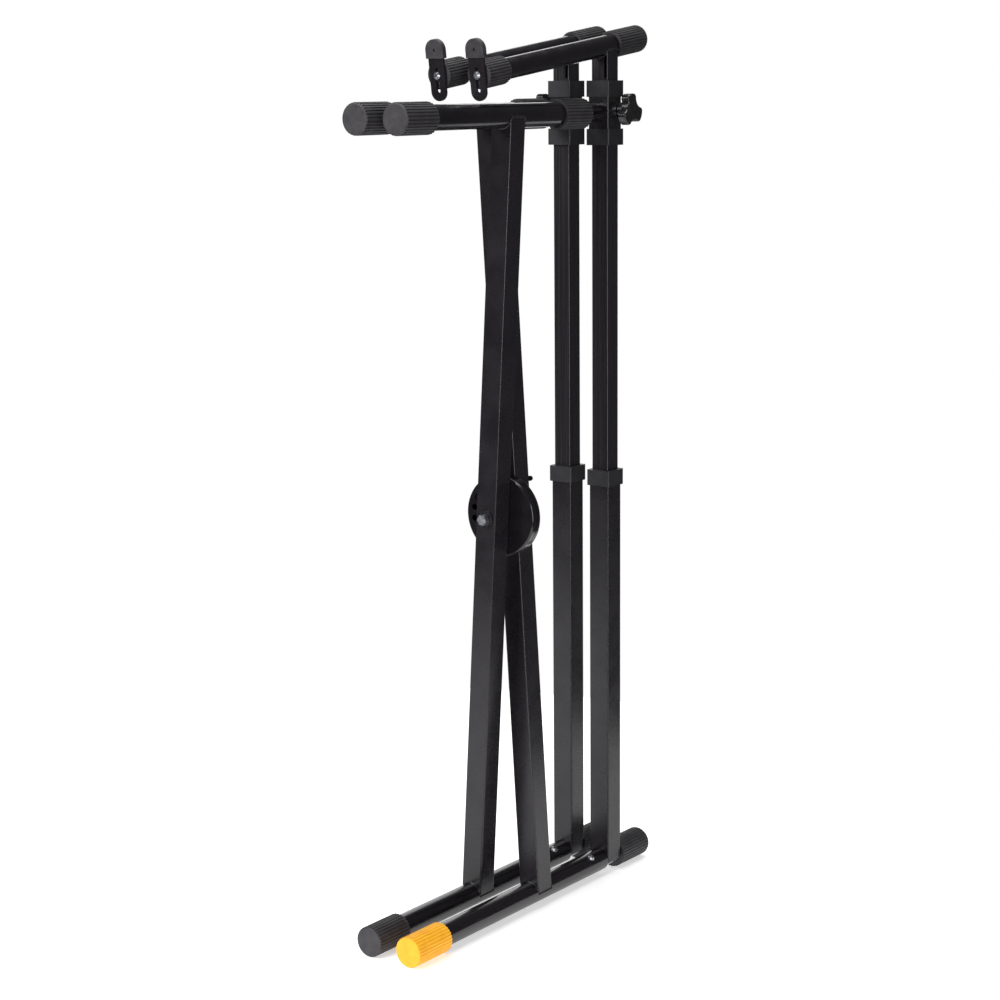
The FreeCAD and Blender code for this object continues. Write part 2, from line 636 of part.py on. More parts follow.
def place_upright(side, word):
    """One post with its mast, second-tier arm and stop; side is +1 for near and -1 for far."""
    x = side * HALF_SPACING
    floor_axis = value("floor_axis")
    subpart(f"lower_post_{word}", lower_post(f"lower_post_{word}"),
            upright(x, UPRIGHT_Y, value("post_bottom")))
    subpart(f"foot_spigot_{word}", foot_spigot(f"foot_spigot_{word}"),
            rearwards(x, value("spigot_front"), floor_axis))
    subpart(f"post_collar_{word}", guide_collar(f"post_collar_{word}", "post_side"),
            upright(x, UPRIGHT_Y, value("post_top - collar_seat")))
    foot_cap = blind_cap(f"rear_foot_cap_{word}", "cap_diameter / 2", "spigot_diameter / 2",
                         "foot_cap_length", "cap_end")
    cap_start = value("upright_y + post_side / 2 + cap_gap")
    subpart(f"rear_foot_cap_{word}", foot_cap, rearwards(x, cap_start, floor_axis))
    subpart(f"mast_{word}", mast(f"mast_{word}"), upright(x, UPRIGHT_Y, value("mast_bottom")))
    subpart(f"mast_glide_{word}", mast_glide(f"mast_glide_{word}"),
            upright(x, UPRIGHT_Y, value("mast_bottom - glide_height")))
    arm_frame = Placement(Vector(x, UPRIGHT_Y, value("upper_axis")),
                          Rotation(Vector(1, 0, 0), value("upper_tilt")))
    front_face = value("0 - upper_front - upper_cap_end")
    subpart(f"second_tier_arm_{word}", second_tier_arm(f"second_tier_arm_{word}"),
            arm_frame * rearwards(0, -value("upper_front"), 0))
    subpart(f"second_tier_caps_{word}", second_tier_caps(f"second_tier_caps_{word}"), arm_frame)
    strap_face = front_face - value("strap_gap")
    subpart(f"stop_strap_{word}", stop_strap(f"stop_strap_{word}"),
            arm_frame * upright(0, strap_face, 0))
    subpart(f"stop_pad_{word}", stop_pad(f"stop_pad_{word}"), arm_frame * upright(0, strap_face, 0))
    screw_tip = value("end_plate + stop_screw_reach - upper_front")
    subpart(f"stop_screw_{word}", stop_screw(f"stop_screw_{word}"),
            arm_frame * frontwards(0, screw_tip, 0))


# ---------------------------------------------------------------------------------------------------
# Scissor frame: legs, tubes, discs and pivot
# ---------------------------------------------------------------------------------------------------

def leg(name, pivot_gap, with_pin_hole):
    """Square tube centred on the pivot; both ends are cut to sit on their round tubes."""
    body = square_tube(name, "leg_side", "leg_wall", "leg_corner", f"2 * {HALF_LEG_FORMULA}", True)
    cuts = new_sketch(body, "XZ_Plane")
    draw_circle(cuts, "tube_diameter / 2", "0", HALF_LEG_FORMULA)
    draw_circle(cuts, "tube_diameter / 2", "0", f"0 - {HALF_LEG_FORMULA}")
    draw_circle(cuts, f"pivot_tube_diameter / 2 + {pivot_gap}")
    if with_pin_hole:
        draw_circle(cuts, "pin_diameter / 2 + 2 * running_gap", "0", "index_radius")
    pocket_both_ways(body, cuts)
    return body


def round_tube(name, length):
    return ring(name, "tube_diameter / 2 - tube_wall", "tube_diameter / 2", length)


def floor_tube(name, bolt_turn):
    """Round tube along Z with a hole for the retaining bolt, which bolt_turn turns from the axis."""
    tube = round_tube(f"{name}_tube", "floor_tube_rear - tube_front")
    start = Vector(0, 0, value("bolt_y - tube_front"))
    hole = cylinder(f"{name}_hole", "retaining_bolt_diameter / 2 + running_gap", "tube_diameter",
                    Placement(start, bolt_turn))
    return cut(name, tube, hole)


def dish(name, depth, bore):
    """Round dished plate: its flat back at local Z = 0 and its rim standing up."""
    thickness = "disc_thickness"
    body = revolved(name, ((bore, "0"), ("disc_radius", "0"), ("disc_radius", depth),
                           (f"disc_radius - {thickness}", depth), (f"disc_radius - {thickness}", thickness),
                           (bore, thickness)))
    fillet_edges(body, body.Tip, "disc_round", ring_edge(value("disc_radius"), 0))
    return body


def index_disc(name):
    """Dish on the front leg, with a row of holes that the locking pin can drop into."""
    body = dish(name, "index_depth", "pivot_tube_diameter / 2")
    sketch = new_sketch(body, "XY_Plane")
    draw_circle(sketch, "index_hole / 2", "index_radius")
    hole = pocket_both_ways(body, sketch)
    polar_pattern(body, hole, "index_count", "index_step * (index_count - 1)")
    return body


def bearing_disc(name):
    """Dish on the rear leg, with one hole for the locking pin."""
    body = dish(name, "bearing_depth", "pivot_tube_diameter / 2 + running_gap")
    sketch = new_sketch(body, "XY_Plane")
    draw_circle(sketch, "pin_diameter / 2 + 2 * running_gap", "0", "index_radius")
    pocket_both_ways(body, sketch)
    return body


def hex_prism(name, height):
    """Hexagonal prism across the sheet's flats, from local Z = 0."""
    prism = doc.addObject("Part::Prism", name)
    prism.Polygon = 6
    prism.setExpression("Circumradius", sizes("pivot_hex / sqrt(3)"))
    prism.setExpression("Height", sizes(height))
    return prism


def pivot_bolt(name, length):
    """Hexagon bolt along Z: its head at the bottom, then the shank."""
    head = hex_prism(f"{name}_head", "pivot_head_height")
    shank = cylinder(f"{name}_shank", "pivot_bolt_diameter / 2", length, Placement())
    result = doc.addObject("Part::Fuse", name)
    result.Base = head
    result.Tool = shank
    return result


def pivot_nut(name):
    thread = cylinder(f"{name}_thread", "pivot_bolt_diameter / 2 + running_gap", "pivot_nut_height",
                      Placement())
    return cut(name, hex_prism(f"{name}_hex", "pivot_nut_height"), thread)


def pivot_washers(name, gap):
    """Two equal washers along Z, with the given gap between them."""
    washers = []
    for number, start in enumerate((0, gap + value("pivot_washer_thickness"))):
        washer = ring(f"{name}_{number}", "pivot_bolt_diameter / 2 + 2 * running_gap",
                      "pivot_washer_diameter / 2", "pivot_washer_thickness")
        washer.Placement = upright(0, 0, start)
        washers.append(washer)
    return group(name, washers)


def nylon_bushes(name):
    """The two pairs of bushes of one leg: in the rear end of its floor tube and of its arm."""
    foot_starts = (value("spigot_front + bush_inset"), value("bolt_y + groove_width"))
    arm_starts = (value("sleeve_spigot_front + bush_inset"), value("arm_rear - bush_inset - bush_length"))
    bushes = []
    for height, starts in ((-HALF_LEG, foot_starts), (HALF_LEG, arm_starts)):
        for start in starts:
            bush = ring(f"{name}_{len(bushes)}", "spigot_diameter / 2 + running_gap",
                        "tube_diameter / 2 - tube_wall", "bush_length")
            bush.Placement = rearwards(0, start, height)
            bushes.append(bush)
    return group(name, bushes)


def retaining_bolt(name):
    """Domed bolt along Z, outwards from the tube's axis; its tip runs in the spigot's groove."""
    tip = "spigot_diameter / 2 - spigot_groove + retaining_tip_gap"
    return socket_screw(name, "retaining_bolt_diameter / 2", "retaining_bolt_diameter * 0.85", tip,
                        "tube_diameter / 2")


def place_leg_frame(turn, leg_word, foot_side, foot_word, arm_word):
    """One leg with the floor tube at its foot and the first-tier arm at its head."""
    x = foot_side * HALF_SPACING
    floor_axis = value("floor_axis")
    foot_turn = turn * rearwards(0, value("tube_front"), -HALF_LEG)
    arm_turn = turn * rearwards(0, value("arm_front"), HALF_LEG)
    lift = math.radians(value("retaining_lift"))
    outward = Vector(math.cos(lift), 0, math.sin(lift))
    local_outward = foot_turn.Rotation.inverted().multVec(outward)
    bolt_turn = Rotation(Vector(0, 0, 1), local_outward)
    subpart(f"floor_tube_{foot_word}", floor_tube(f"floor_tube_{foot_word}", bolt_turn), foot_turn)
    subpart(f"retaining_bolt_{foot_word}", retaining_bolt(f"retaining_bolt_{foot_word}"),
            Placement(Vector(x, value("bolt_y"), floor_axis), Rotation(Vector(0, 0, 1), outward)))
    subpart(f"first_tier_arm_{arm_word}", round_tube(f"first_tier_arm_{arm_word}", "arm_rear - arm_front"),
            arm_turn)
    subpart(f"first_tier_cap_{arm_word}", front_cap(f"first_tier_cap_{arm_word}"),
            turn * frontwards(0, value("arm_front - cap_end + cap_length"), HALF_LEG))
    subpart(f"arm_bush_{arm_word}", arm_bush(f"arm_bush_{arm_word}"),
            turn * rearwards(0, value("arm_bush_front"), HALF_LEG))
    subpart(f"nylon_bushes_{leg_word}", nylon_bushes(f"nylon_bushes_{leg_word}"), turn)


def place_floor_caps():
    front = value("tube_front - cap_end")
    floor_axis = value("floor_axis")
    subpart("floor_cap_far", front_cap("floor_cap_far"),
            frontwards(-HALF_SPACING, front + value("cap_length"), floor_axis))
    offset = value("levelling_offset")
    subpart("levelling_cap", levelling_cap("levelling_cap"),
            frontwards(HALF_SPACING + offset, front + value("levelling_cap_length"), floor_axis))


def place_pivot():
    """Everything on the pivot's axis, and the lock that holds the legs at an index hole."""
    half_leg_side = value("leg_side / 2")
    front_face = value("front_leg_y") - half_leg_side
    front_back = value("front_leg_y") + half_leg_side
    rear_front = value("rear_leg_y") - half_leg_side
    rear_back = value("rear_leg_y") + half_leg_side
    gap = value("running_gap")
    subpart("front_leg", leg("front_leg", "0", False),
            FRONT_LEG_TURN * upright(0, value("front_leg_y"), 0))
    subpart("rear_leg", leg("rear_leg", "running_gap", True),
            REAR_LEG_TURN * upright(0, value("rear_leg_y"), 0))
    first_hole = Rotation(Vector(0, 0, 1), 270 - value("index_last"))
    subpart("index_disc", index_disc("index_disc"),
            FRONT_LEG_TURN * rearwards(0, front_back, 0) * Placement(Vector(), first_hole))
    subpart("bearing_disc", bearing_disc("bearing_disc"), REAR_LEG_TURN * frontwards(0, rear_front, 0))
    friction_washer = ring("friction_washer", "pivot_tube_diameter / 2", "friction_washer_diameter / 2",
                           "rear_leg_y - front_leg_y - leg_side - 2 * disc_thickness - 2 * running_gap")
    subpart("friction_washer", friction_washer,
            rearwards(0, front_back + value("disc_thickness"), PIVOT_HEIGHT))
    tube = ring("pivot_tube", "pivot_bolt_diameter / 2 + 2 * running_gap", "pivot_tube_diameter / 2",
                "rear_leg_y - front_leg_y + leg_side + 2 * running_gap")
    subpart("pivot_tube", tube, rearwards(0, front_face, PIVOT_HEIGHT))
    washer = value("pivot_washer_thickness")
    washer_gap = rear_back + 2 * gap - front_face
    subpart("pivot_washers", pivot_washers("pivot_washers", washer_gap),
            rearwards(0, front_face - washer, PIVOT_HEIGHT))
    nut_height = value("pivot_nut_height")
    bolt_length = ("rear_leg_y - front_leg_y + leg_side + 2 * running_gap + 2 * pivot_washer_thickness"
                   " + pivot_head_height + pivot_nut_height + pivot_bolt_end")
    subpart("pivot_bolt", pivot_bolt("pivot_bolt", bolt_length),
            frontwards(0, rear_back + 2 * gap + washer + value("pivot_head_height"), PIVOT_HEIGHT))
    subpart("pivot_nut", pivot_nut("pivot_nut"),
            rearwards(0, front_face - washer - nut_height, PIVOT_HEIGHT))


def pull_tab(name):
    """Flat tab with round ends; its front face is at local Y = 0."""
    body = new_body(name)
    sketch = new_sketch(body, "XY_Plane")
    draw_slot(sketch, "pin_tab_height", "0 - pin_tab_width / 2", "pin_tab_width / 2")
    draw_circle(sketch, "pin_neck_diameter / 2")
    pad(body, sketch, "pin_tab_thickness")
    return body


def place_lock():
    """Locking pin through the rear leg, its guide, and the tab that pulls it."""
    rear_back = value("rear_leg_y + leg_side / 2")
    height = value("index_radius")
    tab_start = rear_back + value("pin_guide_length + pin_tab_gap")
    bore = "pin_diameter / 2 + running_gap"
    neck = "pin_diameter * 0.75"
    flange = "pin_diameter * 1.1"
    guide = revolved("pin_guide", (
        (bore, "0"), (flange, "0"), (flange, "pin_guide_flange"), (neck, "pin_guide_flange"),
        (neck, "pin_guide_length"), (bore, "pin_guide_length")))
    subpart("pin_guide", guide, REAR_LEG_TURN * rearwards(0, rear_back, height))
    shoulder = "rear_leg_y + leg_side / 2 + pin_guide_length + pin_tab_gap - pin_tip"
    rivet = f"{shoulder} + pin_tab_thickness + pin_chamfer"
    pin = revolved("locking_pin", (
        ("0", "0"), ("pin_diameter / 2 - pin_chamfer", "0"), ("pin_diameter / 2", "pin_chamfer"),
        ("pin_diameter / 2", shoulder), ("pin_neck_diameter / 2", shoulder),
        ("pin_neck_diameter / 2", rivet), ("0", rivet)))
    subpart("locking_pin", pin, REAR_LEG_TURN * rearwards(0, value("pin_tip"), height))
    flat = Placement(Vector(), Rotation(Vector(0, 0, 1), 90))
    subpart("pull_tab", pull_tab("pull_tab"), REAR_LEG_TURN * rearwards(0, tab_start, height) * flat)


# ---------------------------------------------------------------------------------------------------
# Clamp sleeves and their knobs
# ---------------------------------------------------------------------------------------------------

def clamp_sleeve(name, side):
    """Short square tube with a hole for the stud in its outer wall."""
    body = square_tube(f"{name}_tube", "sleeve_side", "sleeve_wall", "sleeve_corner", "sleeve_height")
    stud_height = value("sleeve_height / 2 + knob_rise")
    hole = cylinder(f"{name}_hole", "stud_diameter / 2 + 2 * running_gap", "sleeve_side",
                    sideways(side, 0, 0, stud_height))
    return cut(name, body, hole)


def sleeve_collars(name):
    """The collars on the two ends of a sleeve, the lower one upside down."""
    upper = guide_collar(f"{name}_upper", "sleeve_side")
    upper.Placement = upright(0, 0, value("sleeve_height / 2 - collar_seat"))
    lower = guide_collar(f"{name}_lower", "sleeve_side")
    lower.Placement = Placement(Vector(0, 0, value("collar_seat - sleeve_height / 2")),
                                Rotation(Vector(1, 0, 0), 180))
    return group(name, [upper, lower])


def clamp_knob(name):
    """Hub and three-lobed head along Z, bored for the stud; one lobe points along local -X."""
    body = new_body(f"{name}_solid")
    hub = new_sketch(body, "XY_Plane")
    draw_circle(hub, "knob_hub_radius")
    pad(body, hub, "knob_hub")
    head = new_sketch(body, "XY_Plane", value("knob_hub"))
    head.setExpression("AttachmentOffset.Base.z", sizes("knob_hub"))
    draw_circle(head, "knob_radius")
    pad(body, head, "knob_head")
    scallop = new_sketch(body, "XY_Plane")
    draw_circle(scallop, "knob_scallop", "knob_waist + knob_scallop")
    pattern = polar_pattern(body, pocket_both_ways(body, scallop), "3", "360")
    lobes = fillet_edges(body, pattern, "knob_lobe", is_lobe_edge)
    head_top = value("knob_hub + knob_head")
    fillet_edges(body, lobes, "knob_head / 4",
                 lambda edge: all(abs(vertex.Z - head_top) < 0.01 for vertex in edge.Vertexes))
    bore = cylinder(f"{name}_bore", "stud_diameter / 2", "knob_hub + knob_head / 2", Placement())
    return cut(name, body, bore)


def is_lobe_edge(edge):
    """True for the sharp upright edges where the scallops leave the knob's outside."""
    start = edge.Vertexes[0].Point
    end = edge.Vertexes[-1].Point
    return math.hypot(start.x - end.x, start.y - end.y) < 0.01 and start.distanceToPoint(end) > 1


def place_sleeve(side, word):
    """Sleeve, collars, spigot, welded nut, and the knob with its stud."""
    x = side * HALF_SPACING
    axis = value("arm_axis")
    subpart(f"clamp_sleeve_{word}", clamp_sleeve(f"clamp_sleeve_{word}", side),
            upright(x, UPRIGHT_Y, axis - value("sleeve_height / 2")))
    subpart(f"sleeve_collars_{word}", sleeve_collars(f"sleeve_collars_{word}"),
            upright(x, UPRIGHT_Y, axis))
    spigot = ring(f"sleeve_spigot_{word}", "spigot_diameter / 2 - spigot_wall", "spigot_diameter / 2",
                  "upright_y - sleeve_side / 2 - sleeve_spigot_front")
    subpart(f"sleeve_spigot_{word}", spigot, rearwards(x, value("sleeve_spigot_front"), axis))
    clamp_axis = value("arm_axis + knob_rise")
    face = value("sleeve_side / 2")
    nut = ring(f"clamp_nut_{word}", "stud_diameter / 2 + running_gap", "clamp_nut_radius",
               "clamp_nut_length")
    subpart(f"clamp_nut_{word}", nut, sideways(side, x + side * face, UPRIGHT_Y, clamp_axis))
    hub_start = face + value("clamp_nut_length + knob_gap")
    upright_turn = 0 if side > 0 else 180
    turn = Placement(Vector(), Rotation(Vector(0, 0, 1), value("knob_turn") + upright_turn))
    knob_place = sideways(side, x + side * hub_start, UPRIGHT_Y, clamp_axis) * turn
    subpart(f"clamp_knob_{word}", clamp_knob(f"clamp_knob_{word}"), knob_place)
    tip = value("mast_side / 2 + stud_tip_gap")
    stud_length = ("sleeve_side / 2 + clamp_nut_length + knob_gap + knob_hub + knob_head / 2"
                   " - mast_side / 2 - stud_tip_gap")
    stud = revolved(f"knob_stud_{word}", (("0", "0"), ("stud_diameter / 2", "0"),
                                          ("stud_diameter / 2", stud_length), ("0", stud_length)))
    subpart(f"knob_stud_{word}", stud, sideways(side, x + side * tip, UPRIGHT_Y, clamp_axis))


# ---------------------------------------------------------------------------------------------------
# The whole stand
# ---------------------------------------------------------------------------------------------------

place_upright(-1, "far")
place_upright(1, "near")
place_leg_frame(FRONT_LEG_TURN, "front_leg", -1, "far", "near")
place_leg_frame(REAR_LEG_TURN, "rear_leg", 1, "near", "far")
place_floor_caps()
place_pivot()
place_lock()
place_sleeve(-1, "far")
place_sleeve(1, "near")
doc.recompute()

failed = [thing.Label for thing in doc.Objects if {"Invalid", "Error"} & set(thing.State)]
failed += [shape.Label for shape in subparts if shape.Shape.isNull() or not shape.Shape.isValid()]
if failed:
    raise RuntimeError(f"these objects failed: {failed}")

os.makedirs("parts", exist_ok=True)
for shape in subparts:
    shape.Shape.exportStep(f"parts/{shape.Label}.step")
    print(f"{shape.Label}: {len(shape.Shape.Solids)} solids, {shape.Shape.Volume:.0f} mm3")
print(f"{len(subparts)} sub-parts")
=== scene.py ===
"""Looks of the folded two-tier keyboard stand: finishes, welds, threads, light, floor and camera.

All lengths are in metres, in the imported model's frame: +Z up, +Y to the rear, +X to the right.
The CAD nodes keep their shapes. This script gives them their finishes and adds the small pieces
that the CAD leaves out, each of which rides on the body that it is part of.
"""

import math

import bmesh
import bpy
from mathutils import Matrix, Vector


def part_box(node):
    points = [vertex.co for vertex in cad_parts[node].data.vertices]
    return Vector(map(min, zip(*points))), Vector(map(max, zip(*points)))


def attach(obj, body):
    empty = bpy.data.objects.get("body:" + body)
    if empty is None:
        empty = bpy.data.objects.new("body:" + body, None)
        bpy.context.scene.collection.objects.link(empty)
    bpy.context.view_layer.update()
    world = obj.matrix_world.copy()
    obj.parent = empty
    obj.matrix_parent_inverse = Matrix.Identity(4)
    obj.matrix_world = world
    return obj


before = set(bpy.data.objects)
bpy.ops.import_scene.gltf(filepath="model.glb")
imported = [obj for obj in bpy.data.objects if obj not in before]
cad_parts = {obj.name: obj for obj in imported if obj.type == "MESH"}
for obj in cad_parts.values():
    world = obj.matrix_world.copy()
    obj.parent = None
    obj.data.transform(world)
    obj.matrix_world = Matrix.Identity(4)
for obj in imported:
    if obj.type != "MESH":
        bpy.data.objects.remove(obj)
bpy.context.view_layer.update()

# Sizes that the CAD gives
HALF_SPACING = 0.032
FLOOR_AXIS = 0.0205
ARM_AXIS = 1.083
TUBE_RADIUS = 0.016
LEG_SIDE = 0.032
LEG_CORNER = 0.002
FRONT_LEG_Y = -0.040
REAR_LEG_Y = 0.010
UPRIGHT_Y = 0.183
MAST_SIDE = 0.0265
MAST_CORNER = 0.0018
UPPER_AXIS = 1.1728
UPPER_RADIUS = 0.014
UPPER_TILT = math.radians(7.55)
PIVOT_HEIGHT = 0.55175
CLAMP_AXIS = 1.0865
M8_RADIUS = 0.004

# Sizes of what is added here
WELD_RADIUS = 0.0013
WELD_PITCH = 0.0026
WELD_RIPPLE = 0.14
WELD_SIDES = 12
THREAD_PITCH = 0.00125
THREAD_HEIGHT = 0.00035
THREAD_SINK = 0.0001
THREAD_HALF_WIDTH = THREAD_PITCH * 0.36
THREAD_INSET = THREAD_PITCH * 0.4
THREAD_STEPS_ROUND = 32

# The photograph's camera
CAMERA_PLACE = (1.807, -2.476, 1.130)
CAMERA_YAW = math.radians(36.38)
CAMERA_PITCH = math.radians(10.36)
CAMERA_ROLL = math.radians(-0.51)
CAMERA_LENS = 82.95
CAMERA_SENSOR = 36.0
CAMERA_REACH = 200.0

# Studio: what the lights face, the backdrop's light on the stand, and the glow of the floor
STAND_MIDDLE = (0.0, 0.0, 0.6)
BACKDROP_LIGHT = 0.10
FLOOR_GLOW = 0.5
FLOOR_RADIUS = 1.3
FLOOR_CENTRE = (-0.24, -0.32, 0.0)

# Nearly all of a noise pattern's values lie between these two
NOISE_LOW = 0.35
NOISE_HIGH = 0.65

# Painted groove shade: share of open sky at the bottom of a deep groove, where the painted shade is
# darkest, and how far a groove's walls may stand apart
GROOVE_OPENNESS = 0.5
GROOVE_REACH = 0.003

UP = Vector((0.0, 0.0, 1.0))
REARWARDS = Vector((0.0, 1.0, 0.0))
RIGHTWARDS = Vector((1.0, 0.0, 0.0))


# ------------------------------------------------------------------------------------------------
# Finishes
# ------------------------------------------------------------------------------------------------

class Finish:
    """A procedural material on the Principled shader. Its patterns lie in the part's own space."""

    def __init__(self, name, metallic=0.0, specular=0.5):
        self.material = bpy.data.materials.new(name)
        self.material.use_nodes = True
        self.nodes = self.material.node_tree.nodes
        self.links = self.material.node_tree.links
        self.shader = self.nodes["Principled BSDF"]
        self.shader.inputs["Metallic"].default_value = metallic
        self.shader.inputs["Specular IOR Level"].default_value = specular
        self.space = self.nodes.new("ShaderNodeTexCoord").outputs["Object"]
        self.normal = None

    def noise(self, size, detail=2.0, stretch=(1.0, 1.0, 1.0)):
        """Soft noise from 0 to 1. Its features are about size across, longer where stretched."""
        mapping = self.nodes.new("ShaderNodeMapping")
        mapping.inputs["Scale"].default_value = [1.0 / (size * times) for times in stretch]
        pattern = self.nodes.new("ShaderNodeTexNoise")
        pattern.inputs["Scale"].default_value = 1.0
        pattern.inputs["Detail"].default_value = detail
        self.links.new(self.space, mapping.inputs["Vector"])
        self.links.new(mapping.outputs["Vector"], pattern.inputs["Vector"])
        return pattern.outputs["Fac"]

    def cells(self, size):
        """Pebbles about size across: 0 at the middle of each, and more towards its rim."""
        pattern = self.nodes.new("ShaderNodeTexVoronoi")
        pattern.inputs["Scale"].default_value = 1.0 / size
        self.links.new(self.space, pattern.inputs["Vector"])
        return pattern.outputs["Distance"]

    def ranged(self, source, low, high, start=NOISE_LOW, end=NOISE_HIGH):
        """The source's values from start to end, spread over low to high."""
        spread = self.nodes.new("ShaderNodeMapRange")
        spread.inputs["From Min"].default_value = start
        spread.inputs["From Max"].default_value = end
        spread.inputs["To Min"].default_value = low
        spread.inputs["To Max"].default_value = high
        self.links.new(source, spread.inputs["Value"])
        return spread.outputs["Result"]

    def coloured(self, source, first, second):
        """Base colour that goes from first to second as the noise source goes from low to high."""
        ramp = self.nodes.new("ShaderNodeValToRGB")
        ramp.color_ramp.elements[0].position = NOISE_LOW
        ramp.color_ramp.elements[0].color = (*first, 1.0)
        ramp.color_ramp.elements[1].position = NOISE_HIGH
        ramp.color_ramp.elements[1].color = (*second, 1.0)
        self.links.new(source, ramp.inputs["Fac"])
        self.links.new(ramp.outputs["Color"], self.shader.inputs["Base Color"])

    def paint_groove_shade(self, darkest):
        """Painted shade: darker base colour in narrow grooves, darkest times as bright at the bottom of
        a deep one.
        """
        openness = self.nodes.new("ShaderNodeAmbientOcclusion")
        openness.inputs["Distance"].default_value = GROOVE_REACH
        shade = self.nodes.new("ShaderNodeVectorMath")
        shade.operation = "SCALE"
        base = self.shader.inputs["Base Color"]
        self.links.new(base.links[0].from_socket, shade.inputs["Vector"])
        share = self.ranged(openness.outputs["AO"], darkest, 1.0, start=GROOVE_OPENNESS, end=1.0)
        self.links.new(share, shade.inputs["Scale"])
        self.links.new(shade.outputs["Vector"], base)

    def rough(self, source, low, high):
        self.links.new(self.ranged(source, low, high), self.shader.inputs["Roughness"])

    def raised(self, height, depth):
        """Relief: the surface stands depth higher where height is 1. Layers add up."""
        relief = self.nodes.new("ShaderNodeBump")
        relief.inputs["Distance"].default_value = depth
        self.links.new(height, relief.inputs["Height"])
        if self.normal is not None:
            self.links.new(self.normal, relief.inputs["Normal"])
        self.normal = relief.outputs["Normal"]
        self.links.new(self.normal, self.shader.inputs["Normal"])


def powder_coat():
    """Satin black powder coat: faint clouds, and the orange peel of the cured powder."""
    coat = Finish("powder_coat", specular=0.42)
    coat.coloured(coat.noise(0.06), (0.0078, 0.0064, 0.0087), (0.0124, 0.0104, 0.0133))
    coat.rough(coat.noise(0.025, detail=3.0), 0.24, 0.31)
    coat.raised(coat.noise(0.0022), 0.000018)
    coat.raised(coat.noise(0.0006), 0.000006)
    return coat.material


def sliding_coat():
    """Powder coat on the masts, polished in faint upright streaks where the collars rub."""
    coat = Finish("sliding_coat", specular=0.42)
    streaks = coat.noise(0.0012, detail=3.0, stretch=(1.0, 1.0, 220.0))
    coat.coloured(streaks, (0.0078, 0.0064, 0.0087), (0.0132, 0.0112, 0.0142))
    coat.rough(streaks, 0.22, 0.34)
    coat.raised(coat.noise(0.0022), 0.000015)
    coat.raised(streaks, 0.000004)
    return coat.material


def gloss_coat():
    """Glossy black coat of the round tubes and the discs."""
    coat = Finish("gloss_coat", specular=0.55)
    coat.coloured(coat.noise(0.05), (0.0046, 0.0034, 0.0050), (0.0077, 0.0060, 0.0083))
    coat.rough(coat.noise(0.02, detail=3.0), 0.14, 0.22)
    coat.raised(coat.noise(0.0035), 0.000030)
    coat.raised(coat.noise(0.0008), 0.000003)
    return coat.material


def zinc_steel():
    """Bright zinc plate with small blotches and fine scratches."""
    zinc = Finish("zinc_steel", metallic=1.0)
    zinc.coloured(zinc.noise(0.0035, detail=4.0), (0.28, 0.29, 0.31), (0.48, 0.49, 0.52))
    zinc.rough(zinc.noise(0.0016, detail=4.0), 0.30, 0.46)
    zinc.raised(zinc.noise(0.0003, detail=3.0, stretch=(1.0, 8.0, 1.0)), 0.000006)
    return zinc.material


def black_oxide():
    """Blackened steel washers, worn a little towards the bare metal in spots."""
    oxide = Finish("black_oxide", metallic=0.85)
    oxide.coloured(oxide.noise(0.002, detail=4.0), (0.020, 0.020, 0.022), (0.055, 0.055, 0.060))
    oxide.rough(oxide.noise(0.001, detail=3.0), 0.28, 0.42)
    oxide.raised(oxide.noise(0.0004, detail=3.0), 0.000008)
    return oxide.material


def moulded_rubber():
    """Dark grey rubber: a matt pebbled skin with a slight bloom."""
    rubber = Finish("moulded_rubber", specular=0.38)
    rubber.coloured(rubber.noise(0.012, detail=4.0), (0.029, 0.0265, 0.030), (0.043, 0.040, 0.045))
    # Painted shade: the base colour is darkened in the grooves of the ribs, down to 0.05 of itself in
    # deep ones.
    rubber.paint_groove_shade(0.05)
    rubber.rough(rubber.noise(0.006, detail=3.0), 0.44, 0.56)
    rubber.raised(rubber.cells(0.0007), 0.000035)
    rubber.raised(rubber.noise(0.003), 0.000030)
    return rubber.material


def grey_plastic():
    """Dark grey moulded plastic of the guide collars, with a spark-eroded texture."""
    plastic = Finish("grey_plastic", specular=0.40)
    plastic.coloured(plastic.noise(0.02, detail=3.0), (0.0115, 0.0105, 0.0130), (0.0165, 0.0150, 0.0185))
    plastic.rough(plastic.noise(0.008, detail=3.0), 0.42, 0.52)
    plastic.raised(plastic.noise(0.0005, detail=4.0), 0.000022)
    return plastic.material


def black_plastic():
    """Glossy black plastic of the clamp knobs, with slight sink marks."""
    plastic = Finish("black_plastic", specular=0.5)
    plastic.coloured(plastic.noise(0.01, detail=3.0), (0.0060, 0.0060, 0.0070), (0.012, 0.012, 0.013))
    plastic.rough(plastic.noise(0.005, detail=3.0), 0.22, 0.32)
    plastic.raised(plastic.noise(0.005), 0.000080)
    return plastic.material


def yellow_plastic():
    """Warm yellow moulded levelling cap, slightly see-through in its skin."""
    plastic = Finish("yellow_plastic", specular=0.40)
    plastic.coloured(plastic.noise(0.012, detail=4.0), (0.88, 0.41, 0.014), (0.96, 0.48, 0.022))
    # Painted shade: the base colour is darkened a little in the grooves of the ribs, down to 0.8 of
    # itself in deep ones.
    plastic.paint_groove_shade(0.8)
    plastic.rough(plastic.noise(0.006, detail=3.0), 0.40, 0.52)
    plastic.raised(plastic.cells(0.0007), 0.000025)
    plastic.raised(plastic.noise(0.003), 0.000025)
    plastic.shader.inputs["Subsurface Weight"].default_value = 0.15
    plastic.shader.inputs["Subsurface Radius"].default_value = (0.004, 0.002, 0.0005)
    plastic.shader.inputs["Subsurface Scale"].default_value = 1.0
    return plastic.material


def nylon():
    """Off-white nylon of the bushes, washer and glides."""
    white = Finish("nylon", specular=0.45)
    white.coloured(white.noise(0.01, detail=3.0), (0.62, 0.60, 0.54), (0.72, 0.70, 0.64))
    white.rough(white.noise(0.004, detail=3.0), 0.36, 0.48)
    white.raised(white.noise(0.0008, detail=3.0), 0.000012)
    return white.material


